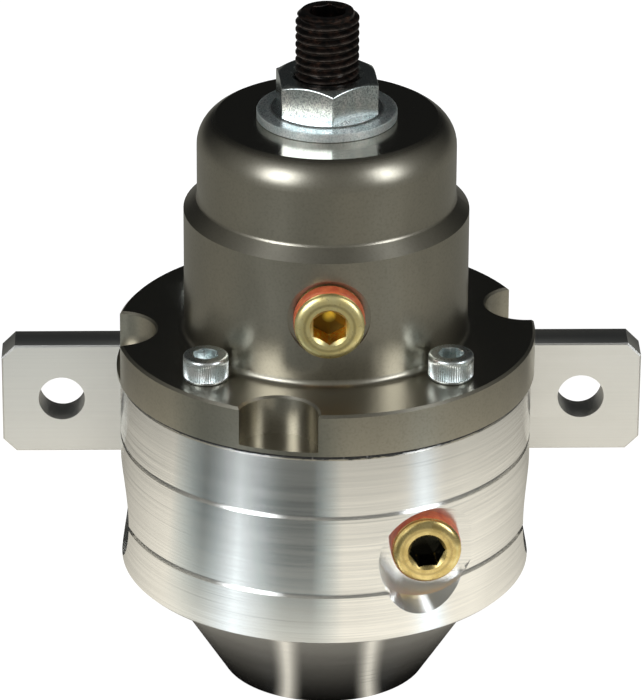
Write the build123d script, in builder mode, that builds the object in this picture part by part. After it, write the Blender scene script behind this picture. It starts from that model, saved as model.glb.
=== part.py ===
from build123d import *
import math
import os

# A return-style fuel pressure regulator: a turned billet body, an anodised bonnet, a diaphragm
# between them, a spring-loaded valve, an adjusting screw with its lock nut and a flat bracket bar.
# Millimetres. +Z is up along the adjusting screw and -Y is the front, with the boost port in it.
# The origin is the centre of the return port's mouth, in the flat bottom of the body's cone.

# Body
body_radius = 32.5
body_top = 50.9
cone_height = 18.7
cone_ledge = 4.4
cone_bottom_radius = 16.4
groove_heights = (27.2, 40.7)
groove_width = 0.85
groove_depth = 0.6
body_edge = 0.4

# Fuel chamber and the post in its middle, which carries the valve seat
chamber_wall = 11.5
chamber_floor = 19.6
post_radius = 9.0
post_top = 38.0
passage_radius = 3.6

# Return port below and the two side ports
port_radius = 7.1
port_chamfer = 0.8
return_port_depth = 14.0
side_port_height = 28.0
side_port_face_depth = 1.6
side_port_spotface = 8.9

# Pipe plugs, and the pocket of the gauge port at the front right
plug_radius = 5.4
plug_length = 8.0
plug_edge = 0.9
plug_socket = 5.0
plug_socket_mouth = 6.1
plug_socket_depth = 4.2
plug_drill_depth = 1.3
pipe_taper = 1.79
plug_clearance = 0.02
gauge_azimuth = 274.0
gauge_offset = 13.3
gauge_height = 32.3
gauge_floor_depth = 7.3
gauge_plug_depth = 3.8
gauge_pocket_radius = 7.9
lip_azimuth = 298.0
lip_drop = 1.7
lip_radius = 8.25

# Bonnet
diaphragm_thickness = 0.5
flange_overhang = 0.5
flange_thickness = 6.9
flange_edge = 0.4
lower_radius = 22.3
lower_top = 78.8
upper_radius = 20.2
shoulder_rise = 2.0
bonnet_top = 93.95
bonnet_round = 5.0
bonnet_round_end = 25.0
foot_ease = 0.5
cavity_radius = 17.2
mouth_height = 4.0
ceiling_thickness = 8.55
scallop_azimuths = (15.0, 181.0, 256.0)
scallop_radius = 6.25
scallop_ledge = 0.7
scallop_edge = 0.35

# Boost port in the front of the bonnet
boost_height = 69.5
boost_recess_depth = 1.1
boost_plug_standing = 2.5
boost_recess_radius = 6.4
boost_socket_turn = 30.0
gauge_socket_turn = 4.0

# Cover screws, M4 socket caps on a circle
cover_screw_inset = 5.8
cover_screw_count = 4
cover_screw_radius = 2.0
cover_screw_length = 16.0
cover_head_radius = 3.5
cover_head_height = 4.0
cover_socket = 3.6
cover_socket_depth = 2.1
cover_head_round = 0.4
screw_hole_play = 0.25
tapped_play = 0.03
tapped_spare = 1.5

# Bracket bar and its two countersunk M5 screws
bracket_length = 104.8
bracket_width = 19.05
bracket_thickness = 6.1
bracket_standing = 0.6
bracket_height = 33.0
bracket_hole_spacing = 85.3
bracket_hole_radius = 3.8
bracket_corner = 2.2
bracket_edge = 0.25
bracket_slot_play = 0.05
bracket_screw_spacing = 18.0
bracket_screw_radius = 2.5
bracket_screw_length = 12.0
bracket_head_radius = 4.7
bracket_socket = 3.0
bracket_socket_depth = 2.0

# Diaphragm stack: the plates, the valve stem, its nut and the rubber pad
plate_radius = 16.4
plate_thickness = 2.0
plate_edge = 0.7
cup_wall = 1.7
cup_wall_height = 3.2
stem_radius = 3.0
stem_length = 6.2
stem_head_radius = 6.0
stem_head_height = 4.0
stem_hole_play = 0.03
stem_nut_width = 10.0
stem_nut_height = 3.0
pad_radius = 4.5
pad_thickness = 1.6
pad_standing = 0.4
pad_play = 0.05

# Valve seat, screwed into the post over an O-ring
seat_thread_radius = 5.0
seat_thread_length = 7.8
seat_hex_width = 13.0
seat_hex_height = 3.6
seat_bore_radius = 2.6
seat_lip_width = 0.9
seat_nose_radius = 5.6
seat_play = 0.03
oring_wire = 0.7
oring_radius = 5.9
oring_play = 0.1

# Main spring and the button on which the adjusting screw presses
wire_radius = 1.3
spring_radius = 9.6
spring_turns = 5.5
button_radius = 12.0
button_thickness = 3.0
button_boss_height = 3.0
button_boss_play = 0.4
button_dimple = 1.5
button_dimple_play = 0.12
cup_spring_play = 0.3

# Adjusting screw, M10, with its flanged lock nut and the seal ring inside the nut
screw_radius = 4.93
screw_top = 111.5
screw_length = 32.6
screw_chamfer = 0.9
screw_socket = 5.0
screw_socket_depth = 5.5
screw_drill_depth = 1.3
thread_play = 0.05
nut_flange_radius = 10.9
nut_flange_rim = 1.75
nut_cone_radius = 8.4
nut_cone_height = 2.3
nut_height = 7.25
nut_width = 15.0
nut_corner_azimuth = 275.0
nut_chamfer_angle = 30.0
nut_countersink = 0.6
seal_radius = 7.0
seal_height = 1.2
seal_play = 0.05

# Heights and sizes that follow from those above
cone_top_radius = body_radius - cone_ledge
chamber_radius = body_radius - chamber_wall
side_port_face = body_radius - side_port_face_depth
gauge_floor = body_radius - gauge_floor_depth
gauge_plug_face = body_radius - gauge_plug_depth
flange_radius = body_radius + flange_overhang
boost_floor = lower_radius - boost_recess_depth
boost_plug_face = lower_radius + boost_plug_standing
cover_screw_circle = body_radius - cover_screw_inset
flange_bottom = body_top + diaphragm_thickness
flange_top = flange_bottom + flange_thickness
ceiling = bonnet_top - ceiling_thickness
round_angle = math.radians(bonnet_round_end)
round_radius = upper_radius - bonnet_round
round_height = bonnet_top - bonnet_round * math.cos(round_angle)
bracket_back = body_radius + bracket_standing
seat_lip_top = body_top - plate_thickness - stem_head_height - pad_standing
plate_top = flange_bottom + plate_thickness
screw_tip = screw_top - screw_length
button_top = screw_tip + button_dimple
button_bottom = button_top - button_thickness
screw_hole_radius = cover_screw_radius + screw_hole_play
thread_bore_radius = screw_radius + thread_play


def radial(azimuth, distance, height, offset=0.0):
    """Plane that faces outwards along an azimuth, its centre set off to the side by the offset."""
    angle = math.radians(azimuth)
    outward = Vector(math.cos(angle), math.sin(angle), 0)
    sideways = Vector(-math.sin(angle), math.cos(angle), 0)
    centre = outward * distance + sideways * offset + Vector(0, 0, height)
    return Plane(origin=centre, x_dir=sideways, z_dir=outward)


def plug_thread_radius(depth):
    """Radius of the tapered pipe thread at a depth behind the plug's face."""
    return plug_radius - depth * math.tan(math.radians(pipe_taper))


def cover_screw_places(height):
    """Places of the cover screws at a height, the first one at 45 degrees."""
    return [
        Location(radial((index + 0.5) * 360 / cover_screw_count, cover_screw_circle, height).origin)
        for index in range(cover_screw_count)
    ]


boost_plane = radial(270.0, boost_plug_face, boost_height)
gauge_plane = radial(gauge_azimuth, gauge_plug_face, gauge_height, gauge_offset)
back_plane = Plane(origin=(0, bracket_back, bracket_height), x_dir=(-1, 0, 0), z_dir=(0, 1, 0))

os.makedirs("parts", exist_ok=True)

# Body: the cone, the grooved barrel, the fuel chamber and the three ports
with BuildPart() as body:
    with BuildSketch(Plane.XZ):
        with BuildLine():
            Polyline(
                (0, 0),
                (cone_bottom_radius, 0),
                (cone_top_radius, cone_height),
                (body_radius - body_edge, cone_height),
                (body_radius, cone_height + body_edge),
                (body_radius, body_top - body_edge),
                (body_radius - body_edge, body_top),
                (0, body_top),
                close=True,
            )
        make_face()
    revolve(axis=Axis.Z)
    with BuildSketch(Plane.XZ):
        for height in groove_heights:
            with Locations((body_radius, height)):
                Rectangle(2 * groove_depth, groove_width)
    revolve(axis=Axis.Z, mode=Mode.SUBTRACT)
    with BuildSketch(Plane.XZ):
        with BuildLine():
            Polyline(
                (post_radius, chamber_floor),
                (chamber_radius, chamber_floor),
                (chamber_radius, body_top),
                (0, body_top),
                (0, post_top),
                (post_radius, post_top),
                close=True,
            )
        make_face()
    revolve(axis=Axis.Z, mode=Mode.SUBTRACT)
    # Return port, its passage up the post, the seat's thread and the O-ring's recess
    with Locations(Plane.XY.rotated((180, 0, 0))):
        Hole(port_radius, depth=return_port_depth)
        Cone(
            bottom_radius=port_radius,
            top_radius=port_radius + port_chamfer,
            height=port_chamfer,
            align=(Align.CENTER, Align.CENTER, Align.MAX),
            mode=Mode.SUBTRACT,
        )
    with Locations((0, 0, post_top)):
        Hole(passage_radius, depth=post_top)
        Hole(seat_thread_radius + seat_play, depth=seat_thread_length)
        Hole(oring_radius + oring_wire + oring_play, depth=2 * oring_wire)
    # Side ports, each with its spotface
    for azimuth in (0, 180):
        with Locations(radial(azimuth, side_port_face, side_port_height)):
            Cylinder(
                side_port_spotface,
                body_radius - side_port_face,
                align=(Align.CENTER, Align.CENTER, Align.MIN),
                mode=Mode.SUBTRACT,
            )
            Hole(port_radius, depth=side_port_face - post_radius - port_radius)
            Cone(
                bottom_radius=port_radius,
                top_radius=port_radius + port_chamfer,
                height=port_chamfer,
                align=(Align.CENTER, Align.CENTER, Align.MAX),
                mode=Mode.SUBTRACT,
            )
    # Gauge port: a milled pocket, its eased lower lip and the tapered thread
    with BuildSketch(radial(gauge_azimuth, gauge_floor, gauge_height, gauge_offset)):
        Circle(gauge_pocket_radius)
    extrude(amount=body_radius, mode=Mode.SUBTRACT)
    with Locations(radial(lip_azimuth, body_radius, gauge_height - lip_drop)):
        Cone(
            bottom_radius=lip_radius / 2,
            top_radius=lip_radius,
            height=lip_radius / 2,
            align=(Align.CENTER, Align.CENTER, Align.MAX),
            mode=Mode.SUBTRACT,
        )
    with Locations(gauge_plane):
        Cone(
            bottom_radius=plug_thread_radius(gauge_plug_face - post_radius) + plug_clearance,
            top_radius=plug_radius + plug_clearance,
            height=gauge_plug_face - post_radius,
            align=(Align.CENTER, Align.CENTER, Align.MAX),
            mode=Mode.SUBTRACT,
        )
    # Slot across the back for the bracket bar, with its two tapped holes
    with BuildSketch(back_plane.offset(-bracket_thickness)):
        Rectangle(2 * body_radius, bracket_width + 2 * bracket_slot_play)
    extrude(amount=body_radius, mode=Mode.SUBTRACT)
    with Locations(back_plane.offset(-bracket_thickness)):
        with GridLocations(bracket_screw_spacing, 0, 2, 1):
            Hole(
                bracket_screw_radius + tapped_play,
                depth=bracket_screw_length - bracket_thickness + tapped_play,
            )
    # Tapped holes for the cover screws
    with Locations(*cover_screw_places(body_top)):
        Hole(
            cover_screw_radius + tapped_play,
            depth=cover_screw_length - (flange_top - body_top) + tapped_spare,
        )
body.part.label = "body"
export_step(body.part, "parts/body.step")

# Bonnet: flange, stepped tower, spring cavity and the thread of the adjusting screw
with BuildPart() as bonnet:
    with BuildSketch(Plane.XZ):
        with BuildLine():
            wall = Polyline(
                (0, bonnet_top),
                (0, flange_bottom),
                (flange_radius, flange_bottom),
                (flange_radius, flange_top - flange_edge),
                (flange_radius - flange_edge, flange_top),
                (lower_radius + foot_ease, flange_top),
                (lower_radius, flange_top + foot_ease),
                (lower_radius, lower_top),
                (upper_radius, lower_top + shoulder_rise),
                (upper_radius, round_height),
            )
            # The round stops at the faced top, a little before it would lie flat
            middle_angle = (math.pi / 2 + round_angle) / 2
            crown = ThreePointArc(
                wall @ 1,
                (
                    round_radius + bonnet_round * math.sin(middle_angle),
                    round_height + bonnet_round * math.cos(middle_angle),
                ),
                (round_radius + bonnet_round * math.sin(round_angle), bonnet_top),
            )
            Line(crown @ 1, wall @ 0)
        make_face()
    revolve(axis=Axis.Z)
    # Scallops in the flange's edge, each with a thin ledge left below
    for azimuth in scallop_azimuths:
        with Locations(radial(azimuth, flange_radius, flange_bottom + scallop_ledge).origin):
            Cylinder(
                scallop_radius,
                flange_thickness,
                align=(Align.CENTER, Align.CENTER, Align.MIN),
                mode=Mode.SUBTRACT,
            )
        with Locations(radial(azimuth, flange_radius, flange_top).origin):
            Cone(
                bottom_radius=scallop_radius,
                top_radius=scallop_radius + scallop_edge,
                height=scallop_edge,
                align=(Align.CENTER, Align.CENTER, Align.MAX),
                mode=Mode.SUBTRACT,
            )
    with BuildSketch(Plane.XZ):
        with BuildLine():
            Polyline(
                (0, flange_bottom),
                (chamber_radius, flange_bottom),
                (chamber_radius, flange_bottom + mouth_height),
                (cavity_radius, flange_bottom + mouth_height),
                (cavity_radius, ceiling),
                (0, ceiling),
                close=True,
            )
        make_face()
    revolve(axis=Axis.Z, mode=Mode.SUBTRACT)
    with Locations((0, 0, bonnet_top)):
        Hole(thread_bore_radius, depth=ceiling_thickness)
    with Locations(*cover_screw_places(flange_top)):
        Hole(screw_hole_radius, depth=flange_thickness)
    # Boost port: a flat recess and the tapered thread
    with BuildSketch(radial(270.0, boost_floor, boost_height)):
        Circle(boost_recess_radius)
    extrude(amount=lower_radius - boost_floor + 1, mode=Mode.SUBTRACT)
    with Locations(boost_plane):
        Cone(
            bottom_radius=plug_thread_radius(plug_length + 2) + plug_clearance,
            top_radius=plug_radius + plug_clearance,
            height=plug_length + 2,
            align=(Align.CENTER, Align.CENTER, Align.MAX),
            mode=Mode.SUBTRACT,
        )
bonnet.part.label = "bonnet"
export_step(bonnet.part, "parts/bonnet.step")

# Diaphragm: a thin reinforced sheet, clamped between the body and the bonnet
with BuildPart() as diaphragm:
    with BuildSketch(Plane.XY.offset(body_top)):
        Circle(body_radius)
        Circle(stem_radius + stem_hole_play, mode=Mode.SUBTRACT)
        with Locations(*cover_screw_places(0)):
            Circle(screw_hole_radius, mode=Mode.SUBTRACT)
    extrude(amount=diaphragm_thickness)
diaphragm.part.label = "diaphragm"
export_step(diaphragm.part, "parts/diaphragm.step")

# Spring cup: the plate above the diaphragm, with a wall round the spring's foot
with BuildPart() as spring_cup:
    cup_bore = spring_radius + wire_radius + cup_spring_play
    with BuildSketch(Plane.XZ):
        with BuildLine():
            Polyline(
                (stem_radius + stem_hole_play, flange_bottom),
                (plate_radius, flange_bottom),
                (plate_radius, plate_top),
                (cup_bore + cup_wall, plate_top),
                (cup_bore + cup_wall, plate_top + cup_wall_height),
                (cup_bore, plate_top + cup_wall_height),
                (cup_bore, plate_top),
                (stem_radius + stem_hole_play, plate_top),
                close=True,
            )
        make_face()
    revolve(axis=Axis.Z)
    rim_edges = spring_cup.edges().filter_by(GeomType.CIRCLE).sort_by(SortBy.RADIUS)[-2:]
    fillet(rim_edges, plate_edge)
spring_cup.part.label = "spring_cup"
export_step(spring_cup.part, "parts/spring_cup.step")

# Lower plate, which grips the diaphragm from the fuel side
with BuildPart() as lower_plate:
    with BuildSketch(Plane.XY.offset(body_top - plate_thickness)):
        Circle(plate_radius)
        Circle(stem_radius + stem_hole_play, mode=Mode.SUBTRACT)
    extrude(amount=plate_thickness)
    rim_edges = lower_plate.edges().filter_by(GeomType.CIRCLE).sort_by(SortBy.RADIUS)[-2:]
    fillet(rim_edges, plate_edge)
lower_plate.part.label = "lower_plate"
export_step(lower_plate.part, "parts/lower_plate.step")

# Valve stem: a headed stud that pulls the stack together and holds the pad in its head
with BuildPart() as valve_stem:
    head_top = body_top - plate_thickness
    with BuildSketch(Plane.XZ):
        with BuildLine():
            Polyline(
                (0, head_top - stem_head_height + pad_thickness - pad_standing),
                (pad_radius + pad_play, head_top - stem_head_height + pad_thickness - pad_standing),
                (pad_radius + pad_play, head_top - stem_head_height),
                (stem_head_radius, head_top - stem_head_height),
                (stem_head_radius, head_top),
                (stem_radius, head_top),
                (stem_radius, plate_top + stem_length - stem_radius / 4),
                (stem_radius * 3 / 4, plate_top + stem_length),
                (0, plate_top + stem_length),
                close=True,
            )
        make_face()
    revolve(axis=Axis.Z)
valve_stem.part.label = "valve_stem"
export_step(valve_stem.part, "parts/valve_stem.step")

# Nut on the stem, above the spring cup
with BuildPart() as stem_nut:
    with BuildSketch(Plane.XY.offset(plate_top)):
        RegularPolygon(stem_nut_width / 2, 6, major_radius=False)
        Circle(stem_radius + stem_hole_play, mode=Mode.SUBTRACT)
    extrude(amount=stem_nut_height)
stem_nut.part.label = "stem_nut"
export_step(stem_nut.part, "parts/stem_nut.step")

# Rubber valve pad, which closes the seat
with BuildPart() as valve_pad:
    with BuildSketch(Plane.XY.offset(seat_lip_top)):
        Circle(pad_radius)
    extrude(amount=pad_thickness)
valve_pad.part.label = "valve_pad"
export_step(valve_pad.part, "parts/valve_pad.step")

# Valve seat: a bored hexagon insert with a narrow lip on a conical nose
with BuildPart() as valve_seat:
    hex_top = post_top + seat_hex_height
    with BuildSketch(Plane.XY.offset(post_top)):
        RegularPolygon(seat_hex_width / 2, 6, major_radius=False)
    extrude(amount=seat_hex_height)
    with BuildSketch(Plane.XZ):
        with BuildLine():
            Polyline(
                (0, post_top - seat_thread_length + tapped_play),
                (seat_thread_radius, post_top - seat_thread_length + tapped_play),
                (seat_thread_radius, post_top),
                (seat_nose_radius, hex_top),
                (seat_bore_radius + seat_lip_width, seat_lip_top),
                (0, seat_lip_top),
                close=True,
            )
        make_face()
    revolve(axis=Axis.Z)
    with Locations((0, 0, seat_lip_top)):
        Hole(seat_bore_radius)
valve_seat.part.label = "valve_seat"
export_step(valve_seat.part, "parts/valve_seat.step")

# O-ring under the seat's hexagon
with BuildPart() as seat_oring:
    with Locations((0, 0, post_top - oring_wire)):
        Torus(oring_radius, oring_wire)
seat_oring.part.label = "seat_oring"
export_step(seat_oring.part, "parts/seat_oring.step")

# Main spring, with its two ends ground flat
with BuildPart() as spring:
    spring_height = button_bottom - plate_top
    coil_pitch = spring_height / spring_turns
    with BuildLine():
        coil = Helix(
            pitch=coil_pitch,
            height=spring_height,
            radius=spring_radius,
            center=(0, 0, plate_top),
        )
    with BuildSketch(Plane(origin=coil @ 0, z_dir=coil % 0)):
        Circle(wire_radius)
    sweep(path=coil, is_frenet=True)
    with BuildSketch(Plane.XY.offset(plate_top)):
        Circle(spring_radius + 2 * wire_radius)
    extrude(amount=spring_height, mode=Mode.INTERSECT)
spring.part.label = "spring"
export_step(spring.part, "parts/spring.step")

# Spring button, with a boss inside the spring and a dimple for the adjusting screw
with BuildPart() as spring_button:
    boss_radius = spring_radius - wire_radius - button_boss_play
    with BuildSketch(Plane.XZ):
        with BuildLine():
            Polyline(
                (0, button_bottom - button_boss_height),
                (boss_radius, button_bottom - button_boss_height),
                (boss_radius, button_bottom),
                (button_radius, button_bottom),
                (button_radius, button_top),
                (screw_radius + button_dimple_play, button_top),
                (screw_radius + button_dimple_play, screw_tip),
                (0, screw_tip),
                close=True,
            )
        make_face()
    revolve(axis=Axis.Z)
spring_button.part.label = "spring_button"
export_step(spring_button.part, "parts/spring_button.step")

# Adjusting screw with a hexagon socket in its top
with BuildPart() as adjusting_screw:
    with Locations((0, 0, screw_tip)):
        Cylinder(screw_radius, screw_length, align=(Align.CENTER, Align.CENTER, Align.MIN))
    chamfer(adjusting_screw.edges().filter_by(GeomType.CIRCLE), screw_chamfer)
    with BuildSketch(Plane.XY.offset(screw_top)):
        RegularPolygon(screw_socket / 2, 6, major_radius=False)
    extrude(amount=-screw_socket_depth, mode=Mode.SUBTRACT)
    with Locations((0, 0, screw_top - screw_socket_depth)):
        Cone(
            bottom_radius=0,
            top_radius=screw_socket / 2,
            height=screw_drill_depth,
            align=(Align.CENTER, Align.CENTER, Align.MAX),
            mode=Mode.SUBTRACT,
        )
adjusting_screw.part.label = "adjusting_screw"
export_step(adjusting_screw.part, "parts/adjusting_screw.step")

# Lock nut: a hexagon on a conical flange, recessed below for the seal ring
with BuildPart() as lock_nut:
    nut_top = bonnet_top + nut_height
    corner_radius = nut_width / math.sqrt(3)
    chamfer_drop = (corner_radius - nut_width / 2) * math.tan(math.radians(nut_chamfer_angle))
    with BuildSketch(Plane.XY.offset(bonnet_top + nut_flange_rim)):
        RegularPolygon(nut_width / 2, 6, major_radius=False, rotation=nut_corner_azimuth)
    extrude(amount=nut_height - nut_flange_rim)
    with BuildSketch(Plane.XZ):
        with BuildLine():
            Polyline(
                (0, bonnet_top),
                (corner_radius, bonnet_top),
                (corner_radius, nut_top - chamfer_drop),
                (nut_width / 2, nut_top),
                (0, nut_top),
                close=True,
            )
        make_face()
    revolve(axis=Axis.Z, mode=Mode.INTERSECT)
    with BuildSketch(Plane.XZ):
        with BuildLine():
            Polyline(
                (0, bonnet_top),
                (nut_flange_radius, bonnet_top),
                (nut_flange_radius, bonnet_top + nut_flange_rim),
                (nut_cone_radius, bonnet_top + nut_cone_height),
                (0, bonnet_top + nut_cone_height),
                close=True,
            )
        make_face()
    revolve(axis=Axis.Z)
    with Locations((0, 0, nut_top)):
        Hole(thread_bore_radius, depth=nut_height)
        Cone(
            bottom_radius=thread_bore_radius,
            top_radius=thread_bore_radius + nut_countersink,
            height=nut_countersink,
            align=(Align.CENTER, Align.CENTER, Align.MAX),
            mode=Mode.SUBTRACT,
        )
    with BuildSketch(Plane.XY.offset(bonnet_top)):
        Circle(seal_radius + seal_play)
    extrude(amount=seal_height, mode=Mode.SUBTRACT)
lock_nut.part.label = "lock_nut"
export_step(lock_nut.part, "parts/lock_nut.step")

# Seal ring in the nut's underside, which keeps boost pressure from leaving by the thread
with BuildPart() as nut_seal:
    with BuildSketch(Plane.XY.offset(bonnet_top)):
        Circle(seal_radius)
        Circle(thread_bore_radius, mode=Mode.SUBTRACT)
    extrude(amount=seal_height)
nut_seal.part.label = "nut_seal"
export_step(nut_seal.part, "parts/nut_seal.step")

# Pipe plugs: a tapered thread and a hexagon socket with a round mouth
for plug_name, plug_plane, socket_turn in (
    ("boost_port_plug", boost_plane, boost_socket_turn),
    ("gauge_port_plug", gauge_plane, gauge_socket_turn),
):
    with BuildPart(plug_plane) as pipe_plug:
        Cone(
            bottom_radius=plug_thread_radius(plug_length),
            top_radius=plug_radius,
            height=plug_length,
            align=(Align.CENTER, Align.CENTER, Align.MAX),
        )
        outer_edges = pipe_plug.edges().filter_by(GeomType.CIRCLE).sort_by(SortBy.RADIUS)
        fillet(outer_edges[-1], plug_edge)
        with BuildSketch(plug_plane):
            RegularPolygon(plug_socket / 2, 6, major_radius=False, rotation=socket_turn)
        extrude(amount=-plug_socket_depth, mode=Mode.SUBTRACT)
        with Locations((0, 0, -plug_socket_depth)):
            Cone(
                bottom_radius=0,
                top_radius=plug_socket / 2,
                height=plug_drill_depth,
                align=(Align.CENTER, Align.CENTER, Align.MAX),
                mode=Mode.SUBTRACT,
            )
        mouth_depth = (plug_socket_mouth - plug_socket) / 2
        Cone(
            bottom_radius=plug_socket / 2,
            top_radius=plug_socket_mouth / 2,
            height=mouth_depth,
            align=(Align.CENTER, Align.CENTER, Align.MAX),
            mode=Mode.SUBTRACT,
        )
    pipe_plug.part.label = plug_name
    export_step(pipe_plug.part, f"parts/{plug_name}.step")

# Cover screws: socket cap screws down through the flange and the diaphragm into the body
for number, place in enumerate(cover_screw_places(flange_top), start=1):
    with BuildPart() as cover_screw:
        with Locations(place):
            Cylinder(
                cover_head_radius,
                cover_head_height,
                align=(Align.CENTER, Align.CENTER, Align.MIN),
            )
        fillet(cover_screw.edges().group_by(Axis.Z)[-1], cover_head_round)
        with Locations(place):
            Cylinder(
                cover_screw_radius,
                cover_screw_length,
                align=(Align.CENTER, Align.CENTER, Align.MAX),
            )
        with BuildSketch(Plane.XY.offset(flange_top + cover_head_height)):
            with Locations((place.position.X, place.position.Y)):
                RegularPolygon(cover_socket / 2, 6, major_radius=False)
        extrude(amount=-cover_socket_depth, mode=Mode.SUBTRACT)
    cover_screw.part.label = f"cover_screw_{number}"
    export_step(cover_screw.part, f"parts/cover_screw_{number}.step")

# Bracket: a flat bar with clipped corners, two mounting holes and two countersunk holes
with BuildPart() as bracket:
    with BuildSketch(back_plane):
        Rectangle(bracket_length, bracket_width)
        with GridLocations(bracket_hole_spacing, 0, 2, 1):
            Circle(bracket_hole_radius, mode=Mode.SUBTRACT)
    extrude(amount=-bracket_thickness)
    chamfer(bracket.edges().filter_by(Axis.Y).group_by(Axis.X)[0], bracket_corner)
    chamfer(bracket.edges().filter_by(Axis.Y).group_by(Axis.X)[-1], bracket_corner)
    for broad_face in (bracket.faces().sort_by(Axis.Y)[0], bracket.faces().sort_by(Axis.Y)[-1]):
        chamfer(broad_face.outer_wire().edges(), bracket_edge)
    with Locations(back_plane):
        with GridLocations(bracket_screw_spacing, 0, 2, 1):
            CounterSinkHole(
                bracket_screw_radius + screw_hole_play,
                bracket_head_radius + tapped_play,
                depth=bracket_thickness,
            )
bracket.part.label = "bracket"
export_step(bracket.part, "parts/bracket.step")

# Bracket screws: countersunk socket screws, flush with the back of the bar
for number, side in enumerate((-1, 1), start=1):
    screw_centre = back_plane.origin + Vector(side * bracket_screw_spacing / 2, 0, 0)
    screw_plane = Plane(origin=screw_centre, x_dir=(-1, 0, 0), z_dir=(0, 1, 0))
    with BuildPart(screw_plane) as bracket_screw:
        head_height = bracket_head_radius - bracket_screw_radius
        Cone(
            bottom_radius=bracket_screw_radius,
            top_radius=bracket_head_radius,
            height=head_height,
            align=(Align.CENTER, Align.CENTER, Align.MAX),
        )
        Cylinder(
            bracket_screw_radius,
            bracket_screw_length,
            align=(Align.CENTER, Align.CENTER, Align.MAX),
        )
        with BuildSketch(screw_plane):
            RegularPolygon(bracket_socket / 2, 6, major_radius=False)
        extrude(amount=-bracket_socket_depth, mode=Mode.SUBTRACT)
    bracket_screw.part.label = f"bracket_screw_{number}"
    export_step(bracket_screw.part, f"parts/bracket_screw_{number}.step")
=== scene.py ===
# %% [markdown]
# A fuel pressure regulator, dressed for its portrait.
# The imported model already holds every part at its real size. This lesson adds what a drawing
# leaves out: cut threads, knurled screw heads, the sealant on the plugs, the finish of each
# metal, and the light of a small product studio. Lengths are metres, as Blender has them, and
# the parts' own sizes are written in millimetres and turned into metres where they are used.

import math

import bpy
from mathutils import Matrix, Vector, noise


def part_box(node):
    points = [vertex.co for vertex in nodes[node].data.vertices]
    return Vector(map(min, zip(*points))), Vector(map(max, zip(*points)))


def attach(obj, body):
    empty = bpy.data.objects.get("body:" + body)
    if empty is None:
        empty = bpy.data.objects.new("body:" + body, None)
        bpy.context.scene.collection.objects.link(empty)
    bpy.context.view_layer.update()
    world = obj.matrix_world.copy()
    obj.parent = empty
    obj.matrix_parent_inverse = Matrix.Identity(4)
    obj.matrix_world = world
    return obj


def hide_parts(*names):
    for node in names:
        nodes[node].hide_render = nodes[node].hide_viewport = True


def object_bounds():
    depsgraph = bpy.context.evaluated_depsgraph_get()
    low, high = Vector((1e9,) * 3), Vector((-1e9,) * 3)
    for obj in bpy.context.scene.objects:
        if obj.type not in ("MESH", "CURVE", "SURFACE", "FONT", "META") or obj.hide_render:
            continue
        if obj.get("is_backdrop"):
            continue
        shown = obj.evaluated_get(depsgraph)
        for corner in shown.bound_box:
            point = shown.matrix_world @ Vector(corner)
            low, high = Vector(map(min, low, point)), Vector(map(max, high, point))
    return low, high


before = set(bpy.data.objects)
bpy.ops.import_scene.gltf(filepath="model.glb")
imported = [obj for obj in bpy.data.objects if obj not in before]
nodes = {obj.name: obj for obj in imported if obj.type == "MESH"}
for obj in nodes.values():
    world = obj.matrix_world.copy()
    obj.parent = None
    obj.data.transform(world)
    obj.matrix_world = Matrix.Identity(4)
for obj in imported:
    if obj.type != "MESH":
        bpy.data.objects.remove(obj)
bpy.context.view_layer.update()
MM = 0.001

# %% [markdown]
# The camera comes first, because everything else is judged through it.
# The picture was taken from a little above with a long lens, nearly straight from the front, so
# the round edges show as flat ellipses and the sides hardly lean. The lens, the height and the
# distance were worked out from those ellipses.

# %% Camera
CAMERA_AZIMUTH = -1.3
CAMERA_ELEVATION = 24.87
CAMERA_DISTANCE = 813.2 * MM
CAMERA_LENS = 264.9
AIM_HEIGHT = 54.1 * MM
AIM_SIDE = -0.65 * MM
CAMERA_ROLL = 0.3


def direction(azimuth, elevation):
    """Unit vector towards an azimuth from the front, positive to the right, and an elevation."""
    a, e = math.radians(azimuth), math.radians(elevation)
    return Vector((math.sin(a) * math.cos(e), -math.cos(a) * math.cos(e), math.sin(e)))


camera = bpy.data.objects.new("camera", bpy.data.cameras.new("camera"))
bpy.context.scene.collection.objects.link(camera)
bpy.context.scene.camera = camera
camera.data.lens = CAMERA_LENS
camera.data.clip_start = 0.05
camera.data.clip_end = 20
back = direction(CAMERA_AZIMUTH, CAMERA_ELEVATION)
right = direction(CAMERA_AZIMUTH + 90, 0)
aim = Vector((0, 0, AIM_HEIGHT)) + right * AIM_SIDE
roll = Matrix.Rotation(math.radians(CAMERA_ROLL), 4, "Z")
turn = (-back).to_track_quat("-Z", "Y").to_matrix().to_4x4() @ roll
camera.matrix_world = Matrix.Translation(aim + back * CAMERA_DISTANCE) @ turn
print("camera at", [round(v, 3) for v in camera.location])

# %% [markdown]
# Light and finishes are patterns, and a pattern is shader maths.
# Drawn by hand, each sum is one node and three links. Here a small class stands for a number in
# a node tree, and Python's operators add its Math nodes, so a pattern reads like a formula.


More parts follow.
